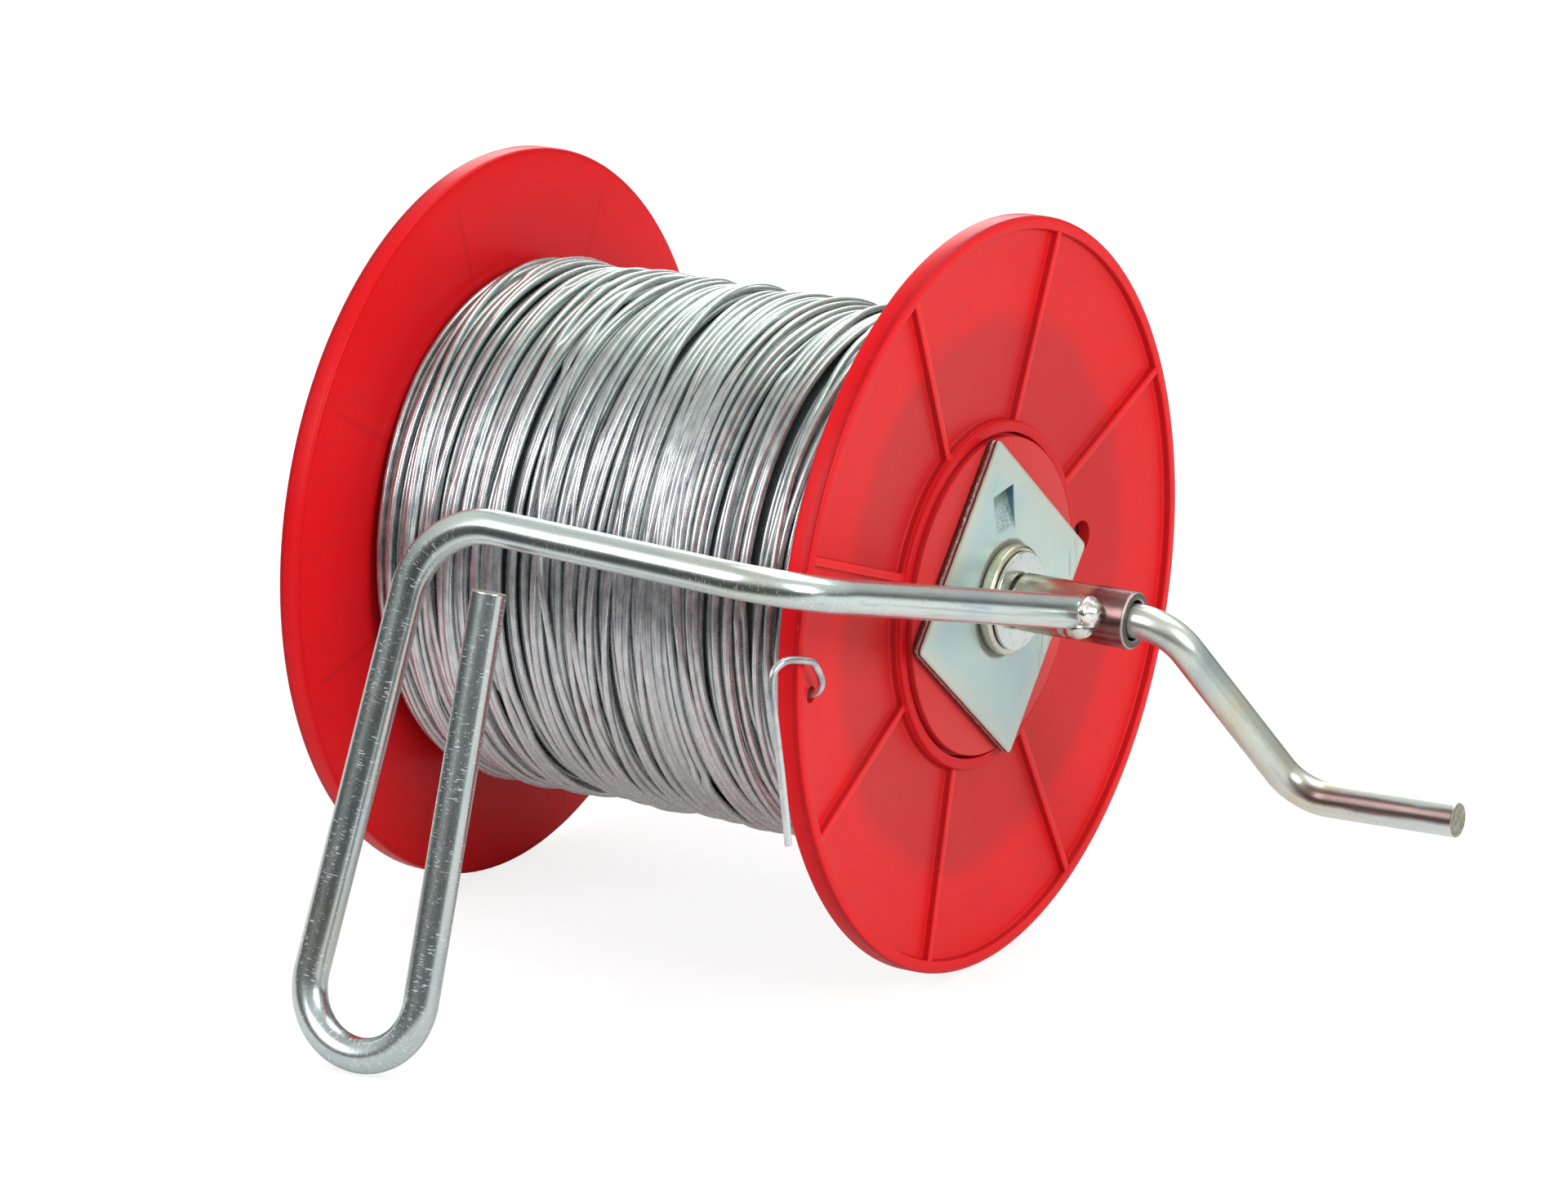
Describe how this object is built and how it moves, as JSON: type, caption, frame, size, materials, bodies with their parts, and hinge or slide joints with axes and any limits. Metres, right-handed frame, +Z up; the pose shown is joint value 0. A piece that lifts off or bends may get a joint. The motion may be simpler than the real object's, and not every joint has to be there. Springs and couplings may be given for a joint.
{
  "type": "hand-cranked wire reel",
  "caption": "Hand-held wire spool on a bent-rod crank, turning in a sleeve welded to a bent-rod handle with a long U grip.",
  "frame": {"origin": "middle of the footprint, on the floor that the spool's lips and the grip's bend rest on", "axes": "+X along the crank's axis towards the crank grip, +Z up, the handle hangs at -Y"},
  "size_m": [0.3182, 0.286, 0.2097],
  "materials": {
    "zinc_rod": "bright zinc plate, slightly bluish, with drawn-rod streaks",
    "weld_bead": "zinc-plated weld bead, lumpy and shiny",
    "zinc_plate": "satin zinc-plated sheet with sheared edges",
    "zinc_fastener": "zinc-plated fasteners",
    "red_plastic": "injection-moulded, slightly translucent red",
    "fence_wire": "galvanised wire, hot-dip spangle and drawn streaks"
  },
  "bodies": {
    "handle": {"handle_rod": "zinc_rod", "handle_sleeve": "zinc_rod", "sleeve_weld_upper": "weld_bead", "sleeve_weld_lower": "weld_bead"},
    "spool": {"crank_rod": "zinc_rod", "drive_plate": "zinc_plate", "shaft_boss": "zinc_plate", "thrust_washer": "zinc_plate", "crank_side_flange": "red_plastic", "crank_side_hub_cap": "red_plastic", "far_side_flange": "red_plastic", "far_side_hub_cap": "red_plastic", "barrel": "red_plastic", "core_tube": "red_plastic", "wire_winding": "fence_wire", "wire_tail": "fence_wire"},
    "clamp_washers": {"clamp_washer": "zinc_fastener", "lock_washer": "zinc_fastener"},
    "wing_nut": {"wing_nut": "zinc_fastener"}
  },
  "joints": [
    {"name": "crank_turn", "type": "hinge", "parent": "handle", "child": "spool", "pos_m": [-0.05389, 0.03812, 0.10486], "axis": [1, 0, 0], "continuous": true},
    {"name": "washer_travel", "type": "slide", "parent": "spool", "child": "clamp_washers", "axis": [-1, 0, 0], "range_m": [0, 0.006]},
    {"name": "wing_nut_turn", "type": "hinge", "parent": "clamp_washers", "child": "wing_nut", "pos_m": [-0.14889, 0.03812, 0.10486], "axis": [-1, 0, 0], "range_deg": [0, 1440]}
  ],
  "couplings": [
    {"joint": "wing_nut_turn", "follows": "washer_travel", "rad_per_m": 3957.9}
  ]
}
